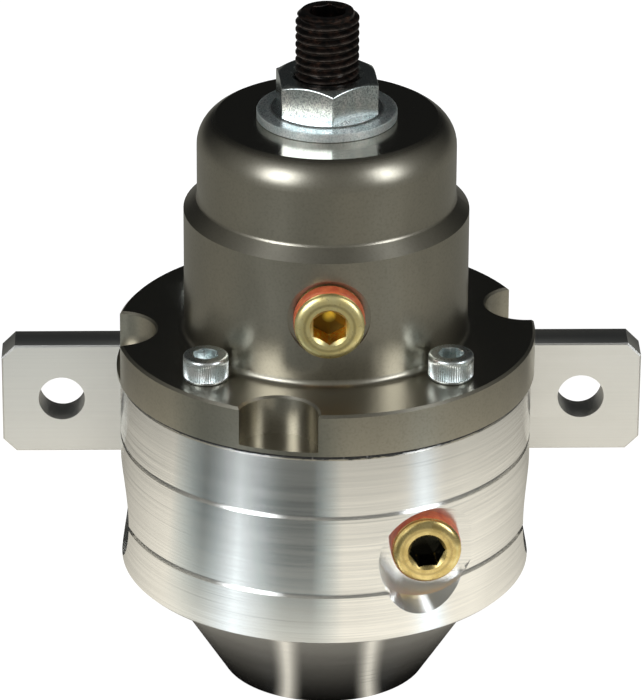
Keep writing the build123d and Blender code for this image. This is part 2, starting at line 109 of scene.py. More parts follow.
# %% Shader maths
class Number:
    """A number in a node tree: Python's operators add Math nodes."""

    def __init__(self, tree, socket):
        self.tree = tree
        self.socket = socket

    def math(self, operation, *others):
        """One Math node of this number and the others."""
        values = dict(enumerate((self, *others)))
        node = add_node(self.tree, "ShaderNodeMath", {"operation": operation}, values)
        return Number(self.tree, node.outputs[0])

    def __add__(self, other):
        return self.math("ADD", other)

    def __sub__(self, other):
        return self.math("SUBTRACT", other)

    def __rsub__(self, other):
        return (self * -1.0) + other

    def __mul__(self, other):
        return self.math("MULTIPLY", other)

    def __pow__(self, other):
        return self.math("POWER", other)

    __radd__ = __add__
    __rmul__ = __mul__

    def clipped(self):
        """Between 0 and 1."""
        return self.math("MAXIMUM", 0.0).math("MINIMUM", 1.0)

    def rising(self, start, end):
        """0 below start, 1 above end, and a straight rise between."""
        return ((self - start) * (1.0 / (end - start))).clipped()

    def between(self, low, high, edge):
        """1 from low to high, fading to 0 over a soft edge outside them."""
        return self.rising(low - edge, low) * (1 - self.rising(high, high + edge))


def add_node(tree, kind, settings=None, values=None):
    """A node of a kind, with its settings made first and then its sockets filled or linked."""
    node = tree.nodes.new(kind)
    for name, value in (settings or {}).items():
        setattr(node, name, value)
    for name, value in (values or {}).items():
        socket = node.inputs[name]
        source = value.socket if isinstance(value, Number) else value
        if isinstance(source, bpy.types.NodeSocket):
            tree.links.new(source, socket)
        elif isinstance(source, tuple) and len(source) == 3 and len(socket.default_value) == 4:
            socket.default_value = (*source, 1.0)
        else:
            socket.default_value = source
    return node


def blend_colours(tree, factor, first, second):
    """First colour where the factor is 0 and second where it is 1."""
    settings = {"data_type": "RGBA"}
    values = {"Factor": factor, 6: first, 7: second}
    return add_node(tree, "ShaderNodeMix", settings, values).outputs[2]


def axes_of(tree, vector):
    """The three numbers of a vector, along x, y and z."""
    split = add_node(tree, "ShaderNodeSeparateXYZ", values={0: vector})
    return [Number(tree, socket) for socket in split.outputs]


def length_of(first, second):
    """Length of a flat vector from its two numbers."""
    return (first * first + second * second) ** 0.5


# %% [markdown]
# A product studio is mostly what the metal mirrors.
# It could be built from lamps and boards, but one sky shader can hold the whole room: two
# softboxes at the front corners, dim grey around, and darkness behind the object, which the flat
# tops mirror. It lights the object too, and the camera itself sees only a pale ground.

# %% Studio room
# Softboxes by azimuth from the front, start and end and soft edge, and by elevation, in degrees
SOFTBOXES = ((-54.0, -36.0, 14.0), (50.0, 62.0, 8.0))
SOFTBOX_LOW = 13.0
SOFTBOX_HIGH = 40.0
SOFTBOX_EDGE = 7.0
SOFTBOX_LIGHT = (6.2, 6.45, 6.7)
ROOM_COLOUR = (0.235, 0.235, 0.215)
# The room darkens towards the ceiling between these elevations, down to this share
CEILING_FADE = (40, 85)
CEILING_SHARE = 0.4
BLACK = (0.0, 0.0, 0.0)
# Darkness behind the object: it begins between these azimuths and elevations, and thins out above
BACK_AZIMUTHS = (85, 140)
BACK_FOOT = (-8, 4)
BACK_TOP = (60, 90)
BACK_TOP_LOSS = 0.6
BACK_COLOUR = (0.02, 0.021, 0.021)
BACKDROP_SEEN = (1.3, 1.3, 1.3)
IN_DEGREES = 180 / math.pi

world = bpy.data.worlds.new("studio")
bpy.context.scene.world = world
world.use_nodes = True
sky = world.node_tree
sky.nodes.clear()
look = add_node(sky, "ShaderNodeTexCoord").outputs["Generated"]
look_x, look_y, look_z = axes_of(sky, look)
# Azimuth from the front and elevation of the direction looked at, in degrees
azimuth = look_x.math("ARCTAN2", look_y * -1.0) * IN_DEGREES
elevation = look_z.math("ARCSINE") * IN_DEGREES
aside = azimuth.math("ABSOLUTE")
boxes = sum(azimuth.between(*box) for box in SOFTBOXES)
boxes = boxes * boxes * elevation.between(SOFTBOX_LOW, SOFTBOX_HIGH, SOFTBOX_EDGE)
ceiling = elevation.rising(*CEILING_FADE) * (1 - CEILING_SHARE)
behind = aside.rising(*BACK_AZIMUTHS) * elevation.rising(*BACK_FOOT)
behind = behind * (1 - elevation.rising(*BACK_TOP) * BACK_TOP_LOSS)
room = blend_colours(sky, ceiling, ROOM_COLOUR, BLACK)
room = blend_colours(sky, behind, room, BACK_COLOUR)
room = blend_colours(sky, boxes.clipped(), room, SOFTBOX_LIGHT)
seen = add_node(sky, "ShaderNodeLightPath").outputs["Is Camera Ray"]
room = blend_colours(sky, seen, room, BACKDROP_SEEN)
lit_room = add_node(sky, "ShaderNodeBackground", values={"Color": room, "Strength": 1.0})
add_node(sky, "ShaderNodeOutputWorld", values={"Surface": lit_room.outputs[0]})
bpy.context.scene.view_settings.view_transform = "Standard"
print("softboxes:", len(SOFTBOXES), "nodes in the sky:", len(sky.nodes))

# %% [markdown]
# The floor only has to be pale and calm.
# A plain white plane would do, but polished metal would show it as one endless white mirror. So
# it is hidden from glossy rays. It glows a little, which keeps it nearly white, and takes the
# object's shadow for the rest.

# %% Floor
FLOOR_SIZE = 6.0
FLOOR_GLOW = 1.3
FLOOR_COLOUR = (0.95, 0.95, 0.95)
FLOOR_SHADE_SHARE = 0.22


def ground(name, glow, shade, share):
    """Material that partly glows and partly takes light and shadow."""
    material = bpy.data.materials.new(name)
    material.use_nodes = True
    tree = material.node_tree
    tree.nodes.clear()
    light = add_node(tree, "ShaderNodeEmission", values={"Strength": glow})
    matt = add_node(tree, "ShaderNodeBsdfDiffuse", values={"Color": shade})
    both = {0: share, 1: light.outputs[0], 2: matt.outputs[0]}
    mixed = add_node(tree, "ShaderNodeMixShader", values=both)
    add_node(tree, "ShaderNodeOutputMaterial", values={"Surface": mixed.outputs[0]})
    return material


bpy.ops.object.select_all(action="DESELECT")
bpy.ops.mesh.primitive_plane_add(size=FLOOR_SIZE, location=(0, 0, 0))
floor = bpy.context.object
floor.name = "floor"
floor.visible_glossy = False
floor.visible_diffuse = False
floor_white = ground("floor_white", FLOOR_GLOW, FLOOR_COLOUR, FLOOR_SHADE_SHARE)
floor.data.materials.append(floor_white)
floor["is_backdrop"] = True
print("floor, metres across:", FLOOR_SIZE)

# %% [markdown]
# A round sheet of white paper lies under the object, for the metal alone to mirror.
# A dark card covers a part of it, strips of cooler light cross it, and beyond its edge the table
# is dim. Real cards and lamps could do this. One glowing disc, whose pattern is shader maths,
# has no noise and is quick to tune. The camera does not see it.

# %% Paper, card and table
# Radii are in metres from the foot's middle, and azimuths in degrees from the front
PAPER_LIFT = 0.05 * MM
PAPER_RADIUS = 0.125
PAPER_EDGE = 0.003
PAPER_COLOUR = (1.04, 0.99, 0.86)
TABLE_RADIUS = 0.143
TABLE_GLOW = 0.19
# The body's own shadow: dark up to the first radius, lit from the second
SHADOW_RADII = (0.015, 0.040)
# Towards the sides and the back the paper loses this share of its light
SIDE_AZIMUTHS = (72, 140)
SIDE_LOSS = 0.62
# Where the two softboxes reach under the body, and the radii at which that begins and ends
REACH_AZIMUTHS = (-22.5, 25.0)
REACH_FADE = 9
REACH_START = (0.008, 0.016)
REACH_END = (0.028, 0.050)
REACH_GLOW = 0.6
# The dark card and its soft sides, each from one azimuth to another
CARD_LEFT_SIDE = (-84.0, -62.0)
CARD_RIGHT_SIDE = (-7.0, 7.0)
CARD_RADII = (0.062, 0.088)
CARD_COLOUR = (0.72, 0.95, 1.0)
CARD_GLOW = 0.035
# Bluish strips of light across paper and card: azimuth, fade to each side, how bright
LIGHT_STRIPS = ((-43.0, 30.0, 1.18), (48.0, 14.0, 1.50))
STRIP_START = (0.044, 0.070)
STRIP_END = (0.112, 0.124)
STRIP_SHARPNESS = 2.4
STRIP_COVER = 0.6
STRIP_COLOUR = (0.90, 0.98, 1.0)
STRIP_TINT = 1.6

bpy.ops.object.select_all(action="DESELECT")
bpy.ops.mesh.primitive_circle_add(
    vertices=96, radius=TABLE_RADIUS, fill_type="NGON", location=(0, 0, PAPER_LIFT)
)
paper = bpy.context.object
paper.name = "paper"
bpy.ops.object.transform_apply(location=True, rotation=True, scale=True)
paper.visible_camera = False
lit_paper = ground("paper_white", 1.0, BLACK, 0.0)
tree = lit_paper.node_tree
spot = add_node(tree, "ShaderNodeTexCoord").outputs["Object"]
spot_x, spot_y = axes_of(tree, spot)[:2]
away = length_of(spot_x, spot_y)
around = spot_x.math("ARCTAN2", spot_y * -1.0) * IN_DEGREES
reach = sum(around.between(a - 1, a + 1, REACH_FADE) for a in REACH_AZIMUTHS)
near_foot = reach * reach * (1 - away.rising(*REACH_END)) * away.rising(*REACH_START)
table = away.rising(PAPER_RADIUS - PAPER_EDGE, PAPER_RADIUS + PAPER_EDGE)
card = around.rising(*CARD_LEFT_SIDE) * (1 - around.rising(*CARD_RIGHT_SIDE))
card = card * away.rising(*CARD_RADII)
glow = away.rising(*SHADOW_RADII) ** 2.0 * (1 - table) + table * TABLE_GLOW
glow = glow * (1 - around.math("ABSOLUTE").rising(*SIDE_AZIMUTHS) * SIDE_LOSS)
glow = glow * (1 - card) + card * CARD_GLOW + near_foot * REACH_GLOW
strips = sum(
    around.between(a, a, fade) ** STRIP_SHARPNESS * bright for a, fade, bright in LIGHT_STRIPS
)
strips = strips * away.rising(*STRIP_START) * (1 - away.rising(*STRIP_END))
glow = glow * (1 - strips * STRIP_COVER) + strips
emitter = tree.nodes["Emission"]
paper_colour = blend_colours(tree, card, PAPER_COLOUR, CARD_COLOUR)
tint = (strips * STRIP_TINT).clipped()
paper_colour = blend_colours(tree, tint, paper_colour, STRIP_COLOUR)
tree.links.new(paper_colour, emitter.inputs["Color"])
tree.links.new(glow.socket, emitter.inputs["Strength"])
paper.data.materials.append(lit_paper)
paper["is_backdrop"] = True
print("paper radius in mm:", PAPER_RADIUS / MM, "nodes:", len(tree.nodes))


# %% [markdown]
# Every finish starts from the same shader.
# A metal part's look is its colour, how wide its gloss spreads and which way its tool marks run.
# The marks run in circles round the axis on turned parts, so they only depend on the height, and
# the gloss is drawn out across them, up and down, which makes the tall bright streaks. Each
# finish could be a material made from nothing, but shared helpers keep them short and alike.


# %% Finishes: the shared start
STREAKS_UPRIGHT = 0.25


def finish(name, base, metallic=1.0, roughness=0.3, streaks=0.0):
    """A Principled material, with its tree, its shader and the place in the object."""
    material = bpy.data.materials.new(name)
    material.use_nodes = True
    tree = material.node_tree
    tree.nodes.clear()
    values = {"Base Color": base, "Metallic": metallic, "Roughness": roughness}
    if streaks:
        values.update({"Anisotropic": streaks, "Anisotropic Rotation": STREAKS_UPRIGHT})
    shader = add_node(tree, "ShaderNodeBsdfPrincipled", values=values)
    add_node(tree, "ShaderNodeOutputMaterial", values={"Surface": shader.outputs[0]})
    place = add_node(tree, "ShaderNodeTexCoord").outputs["Object"]
    return material, tree, shader, place


def grain(tree, place, stretch, detail=2.0, centre=(0, 0, 0)):
    """Noise from 0 to 1 over the place; stretch is the grains per metre along each axis."""
    settings = {"vector_type": "POINT"}
    values = {"Vector": place, "Location": centre, "Scale": stretch}
    mapped = add_node(tree, "ShaderNodeMapping", settings, values).outputs[0]
    values = {"Vector": mapped, "Scale": 1.0, "Detail": detail}
    return Number(tree, add_node(tree, "ShaderNodeTexNoise", values=values).outputs["Fac"])


def relief(tree, shader, height, distance):
    """Feeds a height into the shader's normal as a bump of a distance in metres."""
    values = {"Height": height, "Distance": distance, "Strength": 1.0}
    bump = add_node(tree, "ShaderNodeBump", values=values)
    tree.links.new(bump.outputs[0], shader.inputs["Normal"])


def feed(tree, shader, name, value):
    """Links a value to one of the shader's sockets."""
    tree.links.new(value.socket if isinstance(value, Number) else value, shader.inputs[name])


def dress(material, *names):
    """Gives CAD nodes a material in all of their slots."""
    for name in names:
        mesh = nodes[name].data
        for slot in range(len(mesh.materials)):
            mesh.materials[slot] = material
        if not mesh.materials:
            mesh.materials.append(material)
        print(name, "wears", material.name)


# %% [markdown]
# The body is billet aluminium, turned on a lathe and polished as it spun.
# Its tool marks could be modelled or painted, but they are finer than a pixel. So noise that
# changes only with height feeds the roughness, which spreads the gloss as the rings do, and a
# few hairlines stand for scratches. The mouths of the side ports are milled, and duller.

# %% Turned aluminium of the body
BODY_BASE = (0.93, 0.925, 0.91)
BODY_DULL = (0.72, 0.72, 0.71)
BODY_MILLED = (0.42, 0.42, 0.40)
CONE_TOP = 18.7 * MM
PORT_HEIGHT = 28.0 * MM
# The mouths begin between these distances from the middle, and end between these radii
MOUTH_START = (24.0 * MM, 26.0 * MM)
MOUTH_RADII = (8.93 * MM, 8.98 * MM)

turned, tree, shader, place = finish("turned_aluminium", BODY_BASE, streaks=1.0)
x, y, height = axes_of(tree, place)
milled = x.math("ABSOLUTE").rising(*MOUTH_START)
milled = milled * (1 - length_of(y, height - PORT_HEIGHT).rising(*MOUTH_RADII))
# Rings left by the tool: a soft banding, very fine rings and a few darker hairlines
fine_rings = grain(tree, place, (45, 45, 3400), detail=3)
broad_rings = grain(tree, place, (9, 9, 500), centre=(3, 1, 0))
clouds = grain(tree, place, (60, 60, 60), detail=4)
hairlines = grain(tree, place, (30, 30, 2600), detail=1, centre=(7, 5, 0)).rising(0.61, 0.68)
hairlines = hairlines * grain(tree, place, (40, 40, 90), detail=1).rising(0.45, 0.65)
cone = 1 - height.rising(CONE_TOP - 0.2 * MM, CONE_TOP)
dulled = fine_rings.rising(0.35, 0.75) * 0.36 + clouds.rising(0.5, 0.75) * 0.25
dulled = (dulled + hairlines * 0.6).clipped()
colour = blend_colours(tree, dulled, BODY_BASE, BODY_DULL)
feed(tree, shader, "Base Color", blend_colours(tree, milled * 0.7, colour, BODY_MILLED))
rough = 0.14 + broad_rings.rising(0.3, 0.7) * 0.03 + fine_rings.rising(0.35, 0.65) * 0.04
rough = (rough + clouds * 0.02) * (1 - cone * 0.25)
feed(tree, shader, "Roughness", rough + milled * 0.5)
relief(tree, shader, broad_rings * (1 - milled), 0.0002 * MM)
dress(turned, "body")

# %% [markdown]
# The bonnet's colour is a dyed oxide film on aluminium, which still mirrors through it.
# A coat over metal could be layered, but a metallic shader with a dark base looks the same and
# is simpler. Faced tops, and rounds a little, get a darker tone from the normal: painted shade.
# Faced tops are also sharper than walls, the topmost most of all, so the height picks their gloss.

# %% Anodised aluminium of the bonnet
ANODISED_BASE = (0.40, 0.38, 0.31)
FILM_TONES = ((0.41, 0.385, 0.318), (0.46, 0.432, 0.356))
SPECK_TONE = (0.29, 0.27, 0.222)
# Painted shade for faced tops, and a little for rounds
PAINTED_TOP_SHADE = (0.30, 0.28, 0.24)
TOPMOST_HEIGHTS = (85 * MM, 90 * MM)

anodised, tree, shader, place = finish("dark_anodising", ANODISED_BASE, streaks=0.4)
film = grain(tree, place, (260, 260, 90), detail=4)
specks = grain(tree, place, (2500, 2500, 2500), detail=1)
upward = axes_of(tree, add_node(tree, "ShaderNodeTexCoord").outputs["Normal"])[2]
faced = upward.rising(0.75, 0.97)
rounded = upward.rising(0.05, 0.3) * (1 - faced)
topmost = axes_of(tree, place)[2].rising(*TOPMOST_HEIGHTS)
colour = blend_colours(tree, film, *FILM_TONES)
colour = blend_colours(tree, specks.rising(0.45, 0.75) * 0.35, colour, SPECK_TONE)
# Painted shade: faced tops, and rounds a little, get a darker tone
colour = blend_colours(tree, faced * 0.8 + rounded * 0.3, colour, PAINTED_TOP_SHADE)
feed(tree, shader, "Base Color", colour)
feed(tree, shader, "Roughness", 0.26 + film * 0.06 + rounded * 0.05 - faced * topmost * 0.12)
dress(anodised, "bonnet")

# %% [markdown]
# The bracket is bar stock, brushed along its length.
# A picture of scratches would repeat. Noise drawn out along the bar never does.

# %% Brushed aluminium of the bracket
BAR_TONES = ((0.82, 0.81, 0.79), (0.94, 0.93, 0.90))

brushed, tree, shader, place = finish(
    "brushed_bar", (0.80, 0.79, 0.76), roughness=0.36, streaks=0.6
)
strokes = grain(tree, place, (25, 400, 2600), detail=4)
patches = grain(tree, place, (90, 90, 160))
feed(tree, shader, "Base Color", blend_colours(tree, strokes, *BAR_TONES))
feed(tree, shader, "Roughness", 0.3 + strokes * 0.16 + patches * 0.06)
relief(tree, shader, strokes, 0.005 * MM)
dress(brushed, "bracket")

# %% [markdown]
# Zinc plating is pale, with a cloudy bloom and small dark specks.
# One noise could do both, but two of different size can be tuned apart: the large one shifts
# the tone and the small one the gloss.

# %% Zinc plating of the cover screws and inner parts
ZINC_TONES = ((0.70, 0.78, 0.78), (0.88, 0.89, 0.88))
ZINC_SPECKS = (0.42, 0.45, 0.48)

zinc, tree, shader, place = finish("zinc_plating", (0.78, 0.82, 0.82), roughness=0.22)
bloom = grain(tree, place, (520, 520, 520), detail=4)
speckle = grain(tree, place, (3200, 3200, 3200))
colour = blend_colours(tree, bloom.rising(0.35, 0.7), *ZINC_TONES)
colour = blend_colours(tree, speckle.rising(0.6, 0.75) * 0.5, colour, ZINC_SPECKS)
feed(tree, shader, "Base Color", colour)
feed(tree, shader, "Roughness", 0.20 + speckle * 0.20)
relief(tree, shader, speckle, 0.004 * MM)
dress(zinc, "valve_stem", "stem_nut", "spring_button")

# %% [markdown]
# The nut's plating is mottled on top, and matt beside the hexagon and on the flange's rim.
# These places could be painted or given slots of their own. As the nut is round about Z, the
# distance from the axis tells them apart without either.

# %% Zinc of the nut
NUT_TONES = ((0.72, 0.80, 0.79), (0.92, 0.93, 0.91))
NUT_MOTTLING = (0.22, 0.25, 0.28)
# The matt land and the rim begin between these distances from the axis
NUT_LAND = (8.6 * MM, 9.0 * MM)
NUT_RIM = (10.5 * MM, 10.8 * MM)

nut_zinc, tree, shader, place = finish("zinc_nut", (0.74, 0.80, 0.80), roughness=0.25)
bloom = grain(tree, place, (520, 520, 520), detail=4)
speckle = grain(tree, place, (4200, 4200, 4200))
from_axis = length_of(*axes_of(tree, place)[:2])
rim = from_axis.rising(*NUT_RIM)
land = from_axis.rising(*NUT_LAND) * (1 - rim)
colour = blend_colours(tree, bloom.rising(0.35, 0.7), *NUT_TONES)
mottling = speckle.rising(0.42, 0.66) * 0.75 * (1 - rim * 0.6)
feed(tree, shader, "Base Color", blend_colours(tree, mottling, colour, NUT_MOTTLING))
feed(tree, shader, "Roughness", 0.16 + speckle * 0.14 + rim * 0.34 + land * 0.26)
relief(tree, shader, speckle, 0.001 * MM)
print("matt rim of the nut from mm:", round(NUT_RIM[1] / MM, 1))

# %% [markdown]
# Black oxide is a thin film on the adjusting screw, which rubs off where it is touched.
# Rust shows as brown patches. The thread's crests are bare steel and lighter, partly as a painted
# highlight, and the socket is painted nearly black as shade. Masks could be painted, but here too
# the distance from the axis finds all three.

# %% Black oxide of the adjusting screw and the bracket screws
RUST_TONES = ((0.022, 0.020, 0.019), (0.10, 0.055, 0.04))
# Bare steel of the crests, lightened also as a painted highlight
CREST_WEAR_AND_HIGHLIGHT = (0.20, 0.165, 0.145)
# Painted shade of the socket
SOCKET_SHADE = (0.003, 0.003, 0.003)
# Between these distances from the axis the crests begin and end, and the socket ends
CREST_START = (4.62 * MM, 4.9 * MM)
CREST_END = (5.0 * MM, 5.1 * MM)
SOCKET_END = (2.6 * MM, 3.1 * MM)

black, tree, shader, place = finish(
    "black_oxide", (0.04, 0.035, 0.032), metallic=0.8, roughness=0.24
)
rust = grain(tree, place, (900, 900, 1400), detail=4)
from_axis = length_of(*axes_of(tree, place)[:2])
# Crests lightened where the rust noise allows: bare steel, and a painted highlight
crest_wear_and_highlight = from_axis.rising(*CREST_START) * (1 - from_axis.rising(*CREST_END))
crest_wear_and_highlight = crest_wear_and_highlight * rust.rising(0.3, 0.6)
colour = blend_colours(tree, rust.rising(0.45, 0.72), *RUST_TONES)
colour = blend_colours(tree, crest_wear_and_highlight * 0.8, colour, CREST_WEAR_AND_HIGHLIGHT)
# Painted shade: near the axis, in the socket, the colour goes nearly black
socket_shade = (1 - from_axis.rising(*SOCKET_END)) * 0.85
feed(tree, shader, "Base Color", blend_colours(tree, socket_shade, colour, SOCKET_SHADE))
feed(tree, shader, "Roughness", 0.18 + rust * 0.14)
relief(tree, shader, rust, 0.002 * MM)
dress(black, "bracket_screw_1", "bracket_screw_2")

# %% [markdown]
# Both plugs are plated yellow, and their sockets mirror their own walls.
# Left to the light alone, the sockets come out too even. So the depth and the radius, measured
# from the plug's face, paint light and shade: a dark ring of painted shade where the face turns
# into its round, amber socket walls painted brighter as light in the boost plug and darker as
# shade in the gauge plug, and a drilled floor with a painted highlight at the drill's point and
# painted shade round it. One function serves both plugs, whose tones differ.


# %% Yellow plating of the pipe plugs, with painted light and shade in their sockets
STAIN_TONE = (0.45, 0.30, 0.12)
# Painted shade: a dark ring where the face turns into its round
PAINTED_RING_SHADE = (0.40, 0.31, 0.13)
SHADED_RING_RADII = (3.75 * MM, 3.9 * MM, 0.25 * MM)
# The socket's walls begin between these depths, and end between these radii
WALL_DEPTHS = (0.3 * MM, 0.7 * MM)
WALL_RADII = (2.75 * MM, 2.95 * MM)
FLOOR_DEPTHS = (4.05 * MM, 4.18 * MM)
FLOOR_RADII = (0.4 * MM, 1.2 * MM)


def plating(name, centre, outward, face_tones, wall_light_and_shade_tones, floor_highlight_and_shade_tones, roughness):
    """Plating for one plug: two tones for its face, and two each of painted light and shade for
    its socket's walls and its floor.
    """
    material, tree, shader, place = finish(name, face_tones[0], roughness=0.2)
    tarnish = grain(tree, place, (600, 600, 600), detail=4)
    stains = grain(tree, place, (2200, 2200, 2200), detail=3)
    x, y, z = (axis - middle for axis, middle in zip(axes_of(tree, place), centre))
    depth = (x * outward.x + y * outward.y) * -1.0
    radius = length_of(y * outward.x - x * outward.y, z)
    colour = blend_colours(tree, tarnish.rising(0.35, 0.65), *face_tones)
    colour = blend_colours(tree, stains.rising(0.58, 0.75) * 0.5, colour, STAIN_TONE)
    # Painted shade ring on the face
    colour = blend_colours(tree, radius.between(*SHADED_RING_RADII) * 0.55, colour, PAINTED_RING_SHADE)
    # Socket walls: painted light in the boost plug, painted shade in the gauge plug
    walls = blend_colours(tree, stains.rising(0.35, 0.6), *wall_light_and_shade_tones)
    # Drilled floor: a painted highlight at the drill's point, painted shade round it
    drilled = blend_colours(tree, radius.rising(*FLOOR_RADII), *floor_highlight_and_shade_tones)
    # The socket's painted light and shade, by depth
    socket = blend_colours(tree, depth.rising(*FLOOR_DEPTHS), walls, drilled)
    inside = depth.rising(*WALL_DEPTHS) * (1 - radius.rising(*WALL_RADII))
    feed(tree, shader, "Base Color", blend_colours(tree, inside, colour, socket))
    feed(tree, shader, "Roughness", tarnish * 0.14 + roughness)
    relief(tree, shader, tarnish, 0.003 * MM)
    return material


# %% [markdown]
# The parts inside are aluminium, brass, spring steel, rubber and coated cloth.
# They show only when the model is opened up, so each gets one base colour and one noise. The
# red sealant of the plugs is made here too, as uneven as brushed paint.

# %% Inner metals, rubber and sealant
CLOTH_TONES = ((0.014, 0.014, 0.015), (0.22, 0.21, 0.2))
SEALANT_TONES = ((0.72, 0.10, 0.045), (1.0, 0.27, 0.10))

inner, tree, shader, place = finish("plain_aluminium", (0.76, 0.76, 0.75), roughness=0.35)
feed(tree, shader, "Roughness", 0.28 + grain(tree, place, (20, 20, 2400)) * 0.2)
dress(inner, "spring_cup", "lower_plate")

brass, tree, shader, place = finish("seat_brass", (0.80, 0.62, 0.30), roughness=0.28)
feed(tree, shader, "Roughness", 0.22 + grain(tree, place, (20, 20, 2400)) * 0.16)
dress(brass, "valve_seat")

wire, tree, shader, place = finish("spring_wire", (0.34, 0.35, 0.37), roughness=0.35)
feed(tree, shader, "Roughness", 0.28 + grain(tree, place, (900, 900, 900)) * 0.2)
dress(wire, "spring")

rubber, tree, shader, place = finish("seal_rubber", (0.03, 0.03, 0.03), 0.0, 0.6)
relief(tree, shader, grain(tree, place, (1500, 1500, 1500)), 0.02 * MM)
dress(rubber, "valve_pad", "seat_oring", "nut_seal")

fabric, tree, shader, place = finish("coated_fabric", (0.02, 0.02, 0.02), 0.0, 0.6)
threads = grain(tree, place, (1800, 1800, 600), detail=3)
colour = blend_colours(tree, threads.rising(0.62, 0.7), *CLOTH_TONES)
feed(tree, shader, "Base Color", colour)
relief(tree, shader, threads, 0.03 * MM)
dress(fabric, "diaphragm")

sealant, tree, shader, place = finish("thread_sealant", (0.80, 0.14, 0.05), 0.0, 0.35)
smear = grain(tree, place, (900, 900, 900), detail=3)
colour = blend_colours(tree, smear.rising(0.3, 0.7), *SEALANT_TONES)
feed(tree, shader, "Base Color", colour)
relief(tree, shader, smear, 0.05 * MM)


# %% [markdown]
# Blender's operators work on what is selected and active.
# Meshes could be built from lists of points without them, but operators are what the menus call,
# so each step can be tried by hand. Four helpers take up the selecting, moving and welding.


# %% Helpers for selecting and welding
WELD_DISTANCE = 0.0005 * MM


def clear_selection():
    """Leaves edit mode and deselects everything."""
    if bpy.context.mode != "OBJECT":
        bpy.ops.object.mode_set(mode="OBJECT")
    bpy.ops.object.select_all(action="DESELECT")


def pick(piece):
    """Selects one piece alone and makes it the active one."""
    clear_selection()
    bpy.context.view_layer.objects.active = piece
    piece.select_set(True)


def settle(piece, matrix):
    """Moves a piece and applies the move, so that its origin is the frame's."""
    pick(piece)
    piece.matrix_world = matrix
    bpy.ops.object.transform_apply(location=True, rotation=True, scale=True)


def weld():
    """In edit mode: merges doubles, turns the faces outwards, and leaves edit mode."""
    bpy.ops.mesh.select_all(action="SELECT")
    bpy.ops.mesh.remove_doubles(threshold=WELD_DISTANCE)
    bpy.ops.mesh.normals_make_consistent(inside=False)
    bpy.ops.object.mode_set(mode="OBJECT")


# %% [markdown]
# Round parts start as an outline.
# On a lathe the tool follows half of the part's profile while the bar turns. Cylinders and cones
# could be stacked instead, but every step between them would have to be joined. So the half
# profile is extruded point by point from one vertex and spun about the Z axis.


# %% Helpers for turned shapes
def outline_object(name, outline, closed=False):
    """An edge chain through (radius, height) points in metres, left in edit mode."""
    clear_selection()
    bpy.ops.mesh.primitive_plane_add(size=1 * MM, location=(0, 0, 0))
    piece = bpy.context.object
    piece.name = name
    bpy.ops.object.mode_set(mode="EDIT")
    bpy.ops.mesh.merge(type="CENTER")
    radius, height = outline[0]
    bpy.ops.transform.translate(value=(radius, 0, height))
    for (last_radius, last_height), (radius, height) in zip(outline, outline[1:]):
        step = (radius - last_radius, 0, height - last_height)
        bpy.ops.mesh.extrude_region_move(TRANSFORM_OT_translate={"value": step})
    if closed:
        bpy.ops.object.mode_set(mode="OBJECT")
        ends = (0, len(outline) - 1)
        for vertex in piece.data.vertices:
            vertex.select = vertex.index in ends
        bpy.ops.object.mode_set(mode="EDIT")
        bpy.ops.mesh.edge_face_add()
    return piece


def turned_part(name, outline, steps=96, closed=False):
    """A solid turned about Z from its half profile; open profiles start and end on the axis."""
    piece = outline_object(name, [(r * MM, z * MM) for r, z in outline], closed)
    bpy.ops.mesh.select_all(action="SELECT")
    bpy.ops.mesh.spin(steps=steps, angle=math.tau, center=(0, 0, 0), axis=(0, 0, 1))
    weld()
    return piece


# %% [markdown]
# What a lathe can't turn is cut, and every finished piece is handed over in one way.
# Sockets and hexagons could be drawn face by face. Cutting them with tool shapes, as a workshop
# does, keeps each shape simple. The last helper cleans the cut mesh, shades it and gives it to
# the frame.


# %% Helpers for cutting and handing over
CLEAN_DISTANCE = 0.0002 * MM


def apply_modifier(piece, kind, **settings):
    """Adds a modifier with its settings and applies it."""
    pick(piece)
    modifier = piece.modifiers.new(kind.lower(), kind)
    for name, value in settings.items():
        setattr(modifier, name, value)
    bpy.ops.object.modifier_apply(modifier=modifier.name)


def cut(piece, *tools, operation="DIFFERENCE"):
    """Cuts each tool out of the piece, joins it or keeps what they share, and deletes it."""
    for tool in tools:
        apply_modifier(piece, "BOOLEAN", object=tool, operation=operation, solver="EXACT")
        bpy.data.objects.remove(tool)


def prism(name, across_flats, low, high, corner_azimuth=0.0):
    """A hexagon bar about Z with a corner at an azimuth, sizes in millimetres."""
    clear_selection()
    bpy.ops.mesh.primitive_cylinder_add(
        vertices=6,
        radius=across_flats / 2 / math.cos(math.pi / 6) * MM,
        depth=(high - low) * MM,
        location=(0, 0, (low + high) / 2 * MM),
    )
    bar = bpy.context.object
    bar.name = name
    # The primitive's first corner stands at +Y
    bar.rotation_euler.z = math.radians(corner_azimuth - 90)
    bpy.ops.object.transform_apply(location=True, rotation=True, scale=True)
    return bar


def stand(piece, origin, outward):
    """Moves a piece made about Z so that its Z looks along outward from an origin."""
    sideways = Vector((0, 0, 1)).cross(outward).normalized()
    upright = outward.cross(sideways)
    turn = Matrix((sideways, upright, outward)).transposed().to_4x4()
    settle(piece, Matrix.Translation(origin) @ turn)


